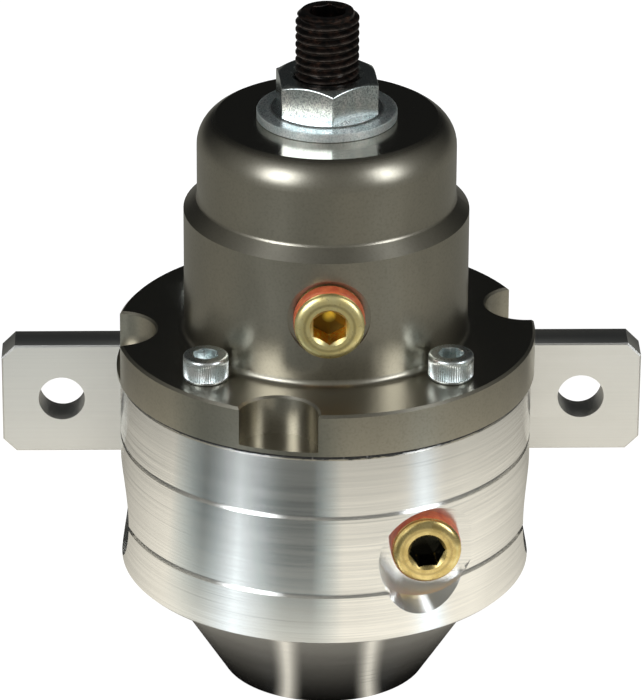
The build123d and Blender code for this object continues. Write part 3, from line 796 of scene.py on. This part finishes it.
def finished(piece, body, material, slot, *replaced, smooth=30):
    """Cleans and shades a piece, gives it its material and hands it to the frame."""
    pick(piece)
    bpy.ops.object.mode_set(mode="EDIT")
    bpy.ops.mesh.select_all(action="SELECT")
    bpy.ops.mesh.dissolve_degenerate(threshold=CLEAN_DISTANCE)
    bpy.ops.mesh.select_all(action="DESELECT")
    bpy.ops.mesh.select_non_manifold(extend=False, use_multi_face=False, use_verts=False)
    bpy.ops.mesh.fill_holes(sides=8)
    bpy.ops.object.mode_set(mode="OBJECT")
    piece.data.materials.clear()
    piece.data.materials.append(material)
    bpy.ops.object.shade_smooth_by_angle(angle=math.radians(smooth))
    apply_modifier(piece, "WEIGHTED_NORMAL", keep_sharp=True, weight=60)
    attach(piece, body)
    if replaced:
        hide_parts(*replaced)
    print(piece.name, "faces:", len(piece.data.polygons))


# %% [markdown]
# A screw thread is one tooth, carried round and up.
# Rings or a bump would be cheaper, but the outline of the screw shows its crests. The Screw
# modifier does what a lathe's lead screw does: it turns a short profile, one pitch high, about
# the axis while it lifts it by that pitch for each turn. The depth is that of a metric thread.
# The ends are sliced flat and the first turn is eased, as a die would need it.


# %% Helper for threads
# In pitches: a thread's depth, the width of its crest, and how far below its end it begins
THREAD_DEPTH = 0.6134
THREAD_CREST = 0.125
THREAD_RUN_IN = 1.37
FLANK_ANGLE = math.radians(30)


def threaded_rod(name, crest, pitch, low, high, ease, steps=72, taper=0.0):
    """A threaded bar about Z in millimetres, with eased ends; taper is radius lost per length."""
    depth = THREAD_DEPTH * pitch
    flank = depth * math.tan(FLANK_ANGLE)
    flat = pitch * THREAD_CREST
    rest = (pitch - 2 * flank - flat) / 2
    root = crest - depth
    heights = (0, rest, rest + flank, rest + flank + flat, pitch - rest, pitch)
    radii = (root, root, crest, crest, root, root)
    start = low - THREAD_RUN_IN * pitch
    turns = math.ceil((high - start) / pitch) + 1
    profile = [(r * MM, (start + z) * MM) for r, z in zip(radii, heights)]
    piece = outline_object(name, profile)
    bpy.ops.object.mode_set(mode="OBJECT")
    run = {"screw_offset": pitch * MM, "iterations": turns, "steps": steps, "render_steps": steps}
    apply_modifier(piece, "SCREW", angle=math.tau, **run)
    bpy.ops.object.mode_set(mode="EDIT")
    bpy.ops.mesh.select_all(action="SELECT")
    bpy.ops.mesh.remove_doubles(threshold=WELD_DISTANCE)
    for z, sign in ((low, 1), (high, -1)):
        bpy.ops.mesh.select_all(action="SELECT")
        bpy.ops.mesh.bisect(
            plane_co=(0, 0, z * MM),
            plane_no=(0, 0, sign),
            use_fill=True,
            clear_inner=True,
            threshold=0.00001 * MM,
        )
    weld()
    for vertex in piece.data.vertices:
        x, y, z = vertex.co / MM
        radius = math.hypot(x, y)
        limit = crest - max(0, ease - min(z - low, high - z)) - taper * (high - z)
        if radius > max(limit, 0):
            vertex.co.x *= limit / radius
            vertex.co.y *= limit / radius
    return piece


# %% [markdown]
# The adjusting screw is threaded from end to end, with a hexagon socket in its top.
# The socket could be drawn into the thread's mesh by hand. It is cut afterwards instead, with a
# hexagon bar and the cone of the drill that makes room for it, and the plugs use the same tools.

# %% Adjusting screw
SCREW_RADIUS = 4.93
SCREW_PITCH = 1.25
SCREW_SOCKET = 5.0
SCREW_SOCKET_DEPTH = 5.5
SCREW_MOUTH = 6.0
SCREW_CORNER = 20.0
# The drill's radius and the length of its tip, as shares of a socket's width
DRILL_RADIUS = 0.49
DRILL_TIP = 0.26

low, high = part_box("adjusting_screw")
screw_top, screw_tip = high.z / MM, low.z / MM
adjusting_screw = threaded_rod(
    "adjusting_screw_threaded", SCREW_RADIUS, SCREW_PITCH, screw_tip, screw_top, ease=0.9
)


def socket_tools(width, top, depth, mouth, corner_azimuth=0.0):
    """What cuts a hexagon socket from above: the bar, the drill's cone and the mouth's bevel."""
    end = top - depth
    bevel = top - (mouth - width) / 2
    bar = prism("socket_bar", width, end, top + 1, corner_azimuth)
    point = [(0, end - width * DRILL_TIP), (width * DRILL_RADIUS, end + 0.02), (0, end + 0.02)]
    drill = turned_part("socket_drill", point, steps=36)
    funnel = [(0, bevel), (width / 2, bevel), (mouth / 2 + 0.2, top + 0.2), (0, top + 0.2)]
    flare = turned_part("socket_flare", funnel, steps=48)
    return bar, drill, flare


tools = socket_tools(SCREW_SOCKET, screw_top, SCREW_SOCKET_DEPTH, SCREW_MOUTH, SCREW_CORNER)
cut(adjusting_screw, *tools)
finished(adjusting_screw, "screw", black, "black_steel", "adjusting_screw", smooth=50)

# %% [markdown]
# The lock nut is a hexagon on a flange, with its corners turned off.
# A bevel on the top edges alone would look flat. So a hexagon bar is kept only where it lies
# inside a turned shape with a 30 degree bevel, which leaves the curved edges that real nuts
# have. A narrow bevel breaks its sharp edges, so that they catch the light, and the turned
# flange is joined on.

# %% Lock nut
NUT_WIDTH = 15.0
NUT_CORNER = 275.0
FLANGE_RADIUS = 10.9
FLANGE_RIM = 1.42
NUT_FOOT = [(9.3, 1.48), (8.85, 1.56), (8.6, 1.75)]
NUT_CHAMFER = math.radians(30)
NUT_BEVEL = 0.22
BEVELLED_FROM = math.radians(20)
# How far the hexagon's flat top stays inside its sides
NUT_LAND_INSET = 0.25
BORE_RADIUS = 4.98
SEAL_RADIUS = 7.05
SEAL_HEIGHT = 1.2

low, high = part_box("lock_nut")
nut_low, nut_high = low.z / MM, high.z / MM
corner = NUT_WIDTH / math.sqrt(3)
drop = (corner - NUT_WIDTH / 2 + NUT_LAND_INSET) * math.tan(NUT_CHAMFER)
lock_nut = prism("lock_nut_flanged", NUT_WIDTH, nut_low + 0.4, nut_high, NUT_CORNER)
envelope = turned_part(
    "nut_envelope",
    [
        (0, nut_low),
        (corner + 0.3, nut_low),
        (corner + 0.3, nut_high - drop - 0.17),
        (NUT_WIDTH / 2 - NUT_LAND_INSET, nut_high),
        (0, nut_high),
    ],
    steps=144,
)
cut(lock_nut, envelope, operation="INTERSECT")
rounding = {"width": NUT_BEVEL * MM, "segments": 3, "limit_method": "ANGLE"}
apply_modifier(lock_nut, "BEVEL", angle_limit=BEVELLED_FROM, **rounding)
flange = turned_part(
    "nut_flange",
    [
        (0, nut_low),
        (FLANGE_RADIUS - 0.1, nut_low),
        (FLANGE_RADIUS, nut_low + 0.1),
        (FLANGE_RADIUS, nut_low + FLANGE_RIM - 0.2),
        (FLANGE_RADIUS - 0.06, nut_low + FLANGE_RIM - 0.06),
        (FLANGE_RADIUS - 0.2, nut_low + FLANGE_RIM),
        *((radius, nut_low + height) for radius, height in NUT_FOOT),
        (0, nut_low + NUT_FOOT[-1][1]),
    ],
    steps=144,
)
cut(lock_nut, flange, operation="UNION")
bore = turned_part(
    "nut_bore",
    [
        (0, nut_low - 1),
        (SEAL_RADIUS, nut_low - 1),
        (SEAL_RADIUS, nut_low + SEAL_HEIGHT),
        (BORE_RADIUS, nut_low + SEAL_HEIGHT),
        (BORE_RADIUS, nut_high - 0.7),
        (BORE_RADIUS + 1.0, nut_high + 0.3),
        (0, nut_high + 0.3),
    ],
)
cut(lock_nut, bore)
finished(lock_nut, "nut", nut_zinc, "zinc_steel", "lock_nut", smooth=35)

# %% [markdown]
# The cover screws are small socket caps with a knurled head.
# A bump could fake the knurl, but not the head's toothed outline. So the head is turned with
# four vertices for each ridge, and those of the knurled band move inwards in waves, which makes
# the fine upright ridges that fingers can grip. One screw is modelled, and four copies are placed.

# %% Cover screws
HEAD_RADIUS = 3.5
HEAD_HEIGHT = 4.0
HEAD_ROUND = 0.5
SHANK_RADIUS = 2.0
SHANK_LENGTH = 16.0
SHANK_PITCH = 0.7
KNURLS = 60
KNURL_DEPTH = 0.17
KNURL_LOW = 0.5
KNURL_HIGH = 3.0
SCREW_CIRCLE = 26.7
CAP_SOCKET = 3.6
CAP_SOCKET_DEPTH = 2.1
CAP_MOUTH = 3.9
# The azimuth of a corner of each socket
CAP_TURNS = {1: 20.0, 2: 50.0, 3: 95.0, 4: 4.0}

top_round = [
    (HEAD_RADIUS - HEAD_ROUND * (1 - math.cos(a)), HEAD_HEIGHT - HEAD_ROUND * (1 - math.sin(a)))
    for a in (math.radians(step * 15) for step in range(7))
]
cover_screw = turned_part(
    "cover_screw_knurled",
    [
        (0, 0),
        (HEAD_RADIUS - 0.3, 0),
        (HEAD_RADIUS - 0.09, 0.09),
        (HEAD_RADIUS, 0.3),
        (HEAD_RADIUS, KNURL_LOW),
        (HEAD_RADIUS + 0.01, KNURL_LOW + 0.06),
        (HEAD_RADIUS + 0.01, KNURL_HIGH - 0.06),
        (HEAD_RADIUS, KNURL_HIGH),
        *top_round,
        (0, HEAD_HEIGHT),
    ],
    steps=4 * KNURLS,
)
for vertex in cover_screw.data.vertices:
    x, y, z = vertex.co / MM
    if KNURL_LOW < z < KNURL_HIGH and math.hypot(x, y) > HEAD_RADIUS:
        phase = math.atan2(y, x) * KNURLS
        inward = 1 - KNURL_DEPTH * (0.5 - 0.5 * math.cos(phase)) / HEAD_RADIUS
        vertex.co.x *= inward
        vertex.co.y *= inward
shank = threaded_rod(
    "cover_screw_shank", SHANK_RADIUS, SHANK_PITCH, -SHANK_LENGTH, 0.4, ease=0.5, steps=36
)
cut(cover_screw, shank, operation="UNION")
cut(cover_screw, *socket_tools(CAP_SOCKET, HEAD_HEIGHT, CAP_SOCKET_DEPTH, CAP_MOUTH))
flange_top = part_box("cover_screw_1")[1].z - HEAD_HEIGHT * MM
for number, socket_turn in CAP_TURNS.items():
    screw = cover_screw.copy()
    screw.data = cover_screw.data.copy()
    screw.name = f"cover_screw_{number}_knurled"
    bpy.context.scene.collection.objects.link(screw)
    around = math.radians(90 * number - 45)
    spot = Vector((math.cos(around), math.sin(around), 0)) * SCREW_CIRCLE * MM
    turned_by = Matrix.Rotation(math.radians(socket_turn), 4, "Z")
    settle(screw, Matrix.Translation(spot + Vector((0, 0, flange_top))) @ turned_by)
    finished(screw, "root", zinc, "zinc_steel", f"cover_screw_{number}", smooth=40)
bpy.data.objects.remove(cover_screw)

# %% [markdown]
# Two pipe plugs close ports in the bonnet and in the body.
# A plug is a tapered threaded bar with a rounded front edge and a socket whose drilled bottom
# ends in a cone. It could be one mesh, but a turned face and a threaded bar are simple apart, so
# they are made one by one and joined.


# %% Pipe plugs
PLUG_RADIUS = 5.4
PLUG_LENGTH = 8.0
PLUG_EDGE = 0.9
PLUG_ROUND = 1.45
PLUG_PITCH = 0.94
PLUG_SOCKET = 5.0
PLUG_SOCKET_DEPTH = 4.2
PLUG_MOUTH = 6.1
PIPE_TAPER = math.tan(math.radians(1.79))
COLLAR = 1.5


def plug_shape(name, corner_azimuth):
    """A pipe plug about Z with its face at height 0."""
    rim = [
        (PLUG_RADIUS - PLUG_ROUND + PLUG_ROUND * math.cos(a), -PLUG_EDGE + PLUG_EDGE * math.sin(a))
        for a in (math.radians(step * 10) for step in range(10))
    ]
    piece = turned_part(
        name,
        [
            (0, -COLLAR - 0.6),
            (PLUG_RADIUS - 0.75, -COLLAR - 0.6),
            (PLUG_RADIUS - 0.05, -COLLAR),
            *rim,
            (0, 0),
        ],
    )
    crest, front = PLUG_RADIUS - 0.03, -COLLAR + 0.3
    thread = threaded_rod(
        name + "_thread", crest, PLUG_PITCH, -PLUG_LENGTH, front, ease=0.4, taper=PIPE_TAPER
    )
    cut(piece, thread, operation="UNION")
    cut(piece, *socket_tools(PLUG_SOCKET, 0.0, PLUG_SOCKET_DEPTH, PLUG_MOUTH, corner_azimuth))
    return piece


# %% [markdown]
# Red sealant fills the first turns of the plugs' threads.
# It could be a red stripe in the plug's finish, but it is thick enough to catch light. So it is
# a thin sleeve round the thread, and noise lets its front edge wander, as a brush would.


# %% Sealant
# By depth behind the plug's face, and its thickness inside and outside the crests
SEALANT_FRONT = 0.95
SEALANT_STEPS = (0.0, 0.3, 0.9, 1.5, 2.1)
SEALANT_INSIDE = 0.15
SEALANT_OUTSIDE = 0.07
# How far its front wanders, how far it draws back where the brush missed, how far behind the
# front that is felt, and over how many degrees a bare stretch begins
SEALANT_WAVE = 0.22
SEALANT_BARE = 1.1
SEALANT_REACH = 1.5
BARE_FADE = 14


def sealant_sleeve(name, more, bare_from, bare_to, seed):
    """A thin wavy sleeve on the thread, which draws back between two azimuths."""
    rings = [SEALANT_FRONT + step for step in SEALANT_STEPS]
    rings.append(rings[-1] + more)
    outline = [(PLUG_RADIUS - SEALANT_INSIDE, -depth) for depth in rings[::-1]]
    outline.append((PLUG_RADIUS, -SEALANT_FRONT))
    outline += [(PLUG_RADIUS + SEALANT_OUTSIDE, -depth) for depth in rings[1:]]
    sleeve = turned_part(name, outline, closed=True)
    for vertex in sleeve.data.vertices:
        x, y, z = vertex.co / MM
        around = math.degrees(math.atan2(y, x)) % 360
        wave = noise.noise(Vector((x * 0.9, y * 0.9, seed)))
        bare = max(0, min(1, min(around - bare_from, bare_to - around) / BARE_FADE))
        reach = max(0.0, 1 - (-z - SEALANT_FRONT) / SEALANT_REACH)
        vertex.co.z -= (SEALANT_WAVE * wave + 0.2 + SEALANT_BARE * bare) * reach * MM
        swell = 1 + 0.006 * noise.noise(Vector((x * 2, y * 2, z * 2 + seed)))
        vertex.co.x *= swell
        vertex.co.y *= swell
    return sleeve


# %% [markdown]
# Each plug is made upright about Z, and then stood in its port with its sealant.
# Building it in place would need tilted tools for every cut. Upright pieces share their helpers,
# and one move at the end brings each to its port.


# %% Plugs and sealant in their ports
def plug_place(azimuth, distance, height, offset=0.0):
    """Centre of a plug's face and the way it looks, from the azimuth counted from +X."""
    angle = math.radians(azimuth)
    outward = Vector((math.cos(angle), math.sin(angle), 0))
    sideways = Vector((-math.sin(angle), math.cos(angle), 0))
    return (outward * distance + sideways * offset + Vector((0, 0, height))) * MM, outward


# Each plug: its azimuth from +X, its height, the azimuth of a socket corner, and where it is bare
BOOST_AZIMUTH = 270.0
BOOST_HEIGHT = 69.5
BOOST_CORNER = 30.0
BOOST_BARE = (215.0, 380.0)
# The boost plug's face stands a little further out than its CAD node's, as in the photograph
BOOST_PROUD = 0.7
GAUGE_AZIMUTH = 274.0
GAUGE_HEIGHT = 32.3
GAUGE_CORNER = 4.0
GAUGE_BARE = (250.0, 330.0)
GAUGE_FACE = 28.7
GAUGE_OFFSET = 13.3
# Two tones of the plating, two of painted light and shade for the socket's walls, two for its
# floor, and the roughness
# The boost plug's amber socket walls are painted brighter as light, and its floor has a painted
# highlight
BOOST_TONES = (
    ((1.0, 0.88, 0.46), (0.92, 0.77, 0.34)),
    ((1.0, 0.88, 0.26), (1.0, 0.50, 0.09)),
    ((1.0, 0.80, 0.16), (0.17, 0.10, 0.02)),
    0.30,
)
# The gauge plug's socket walls and floor are painted shade
GAUGE_TONES = (
    ((0.82, 0.66, 0.30), (0.62, 0.47, 0.18)),
    ((0.06, 0.055, 0.04), (0.03, 0.028, 0.02)),
    ((0.03, 0.028, 0.02), (0.03, 0.028, 0.02)),
    0.20,
)
boost_face = -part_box("boost_port_plug")[0].y / MM + BOOST_PROUD
boost_place = plug_place(BOOST_AZIMUTH, boost_face, BOOST_HEIGHT)
gauge_place = plug_place(GAUGE_AZIMUTH, GAUGE_FACE, GAUGE_HEIGHT, GAUGE_OFFSET)
plugs = {
    "boost_port_plug": (boost_place, BOOST_CORNER, BOOST_BARE, BOOST_TONES),
    "gauge_port_plug": (gauge_place, GAUGE_CORNER, GAUGE_BARE, GAUGE_TONES),
}
for seed, (node, ((centre, outward), corner_azimuth, bare, tones)) in enumerate(plugs.items()):
    plug = plug_shape(node + "_cut", corner_azimuth)
    stand(plug, centre, outward)
    plated = plating(node + "_plating", centre, outward, *tones)
    finished(plug, "root", plated, "plated_brass", node, smooth=35)
    sleeve = sealant_sleeve(node.replace("plug", "sealant"), BOOST_PROUD, *bare, seed)
    stand(sleeve, centre, outward)
    finished(sleeve, "root", sealant, "seal_rubber", smooth=60)

# %% [markdown]
# Where a turned wall meets a step, the nose of the tool leaves a small hollow round.
# It is hardly wider than a hair, but it catches both softboxes along its whole length and so
# draws a bright line. The CAD part could carry it as a fillet. As a thin ring that follows the
# corner it stays easy to change, to match the photograph's line.

# %% Hollow rounds at the bonnet's two steps
LOWER_RADIUS = 22.3
UPPER_RADIUS = 20.2
SHOULDER_TOP = 80.8
HOLLOW = 0.45
HOLLOW_SUNK = 0.06


def hollow_ring(name, corner, down, up):
    """Ring with a concave face between two points beside an inside corner, in millimetres."""
    sides = list(zip(down, corner, up))
    bend = [
        tuple((1 - t) ** 2 * a + 2 * t * (1 - t) * c + t * t * b for a, c, b in sides)
        for t in (step / 6 for step in range(7))
    ]
    hidden = (corner[0] - HOLLOW_SUNK, corner[1] - HOLLOW_SUNK)
    ring = turned_part(name, [hidden, *bend], steps=144, closed=True)
    finished(ring, "root", anodised, "dark_anodised", smooth=60)


foot_height = flange_top / MM
hollow_ring(
    "tower_foot_round",
    (LOWER_RADIUS, foot_height),
    (LOWER_RADIUS + HOLLOW * 2.4, foot_height - 0.01),
    (LOWER_RADIUS - 0.01, foot_height + HOLLOW * 2.4),
)
hollow_ring(
    "shoulder_round",
    (UPPER_RADIUS, SHOULDER_TOP),
    (UPPER_RADIUS + HOLLOW * 0.6, SHOULDER_TOP - HOLLOW * 0.6 - 0.01),
    (UPPER_RADIUS - 0.01, SHOULDER_TOP + HOLLOW * 0.8),
)

# %% [markdown]
# The edge of the diaphragm shows as a thin ragged line between the two halves.
# It was cut with a die and squeezed, so it stands proud in places. A bump would not reach beyond
# the outline, and a new disc would need its holes again. So the CAD part is copied, holes and
# all, and only its outer edge is moved, by noise.

# %% Diaphragm with a ragged edge
EDGE_RADIUS = 32.5
EDGE_INSET = 0.03
RAGGED = 0.28

diaphragm = nodes["diaphragm"].copy()
diaphragm.data = nodes["diaphragm"].data.copy()
diaphragm.name = "diaphragm_ragged"
diaphragm.parent = None
bpy.context.scene.collection.objects.link(diaphragm)
pick(diaphragm)
bpy.ops.object.mode_set(mode="EDIT")
bpy.ops.mesh.select_all(action="SELECT")
bpy.ops.mesh.remove_doubles(threshold=WELD_DISTANCE)
bpy.ops.mesh.tris_convert_to_quads()
bpy.ops.mesh.select_all(action="DESELECT")
bpy.ops.object.mode_set(mode="OBJECT")
for edge in diaphragm.data.edges:
    ends = [diaphragm.data.vertices[i].co for i in edge.vertices]
    edge.select = all(math.hypot(p.x, p.y) > (EDGE_RADIUS - 0.05) * MM for p in ends)
bpy.ops.object.mode_set(mode="EDIT")
bpy.ops.mesh.select_mode(type="EDGE")
bpy.ops.mesh.subdivide(number_cuts=3)
bpy.ops.mesh.select_mode(type="VERT")
bpy.ops.object.mode_set(mode="OBJECT")
for vertex in diaphragm.data.vertices:
    x, y, z = vertex.co / MM
    radius = math.hypot(x, y)
    if radius > EDGE_RADIUS - 0.1:
        flat = Vector((x / radius, y / radius, 0))
        wave = noise.noise(flat * 14) + 0.7 * noise.noise(flat * 45 + Vector((0, 0, z)))
        grown = EDGE_RADIUS - EDGE_INSET + RAGGED * max(0.0, wave)
        vertex.co.x *= grown / radius
        vertex.co.y *= grown / radius
finished(diaphragm, "root", fabric, "coated_fabric", "diaphragm")

# %% [markdown]
# It could be done by eye, but a box is exact: that of the dressed model is printed.

# %% Sizes, and the end
low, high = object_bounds()
print("visual box in mm:", [round(v / MM, 1) for v in (*low, *high)])
